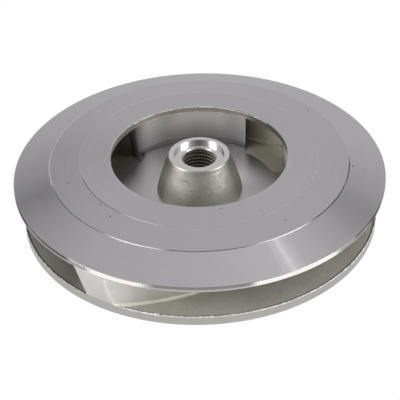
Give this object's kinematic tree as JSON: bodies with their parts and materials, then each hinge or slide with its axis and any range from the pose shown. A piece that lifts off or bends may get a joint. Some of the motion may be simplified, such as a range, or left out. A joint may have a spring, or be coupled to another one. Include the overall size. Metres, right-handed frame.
{
  "type": "closed pump impeller",
  "caption": "Closed centrifugal pump impeller cast in stainless steel: conical shrouds, backward-swept vanes and a hub with a threaded bore.",
  "frame": {"origin": "on the axis, in the plane of the back hub face and the back ring, so at the middle of the bottom", "axes": "+Z along the axis towards the eye, which is where the water enters; a vane's outer end lies near +X"},
  "size_m": [0.18, 0.18, 0.0341],
  "materials": {
    "turned_stainless": "turned, satin, with fine concentric tool marks and a few casting pits"
  },
  "bodies": {
    "root": {"impeller_casting": "turned_stainless"}
  },
  "joints": []
}
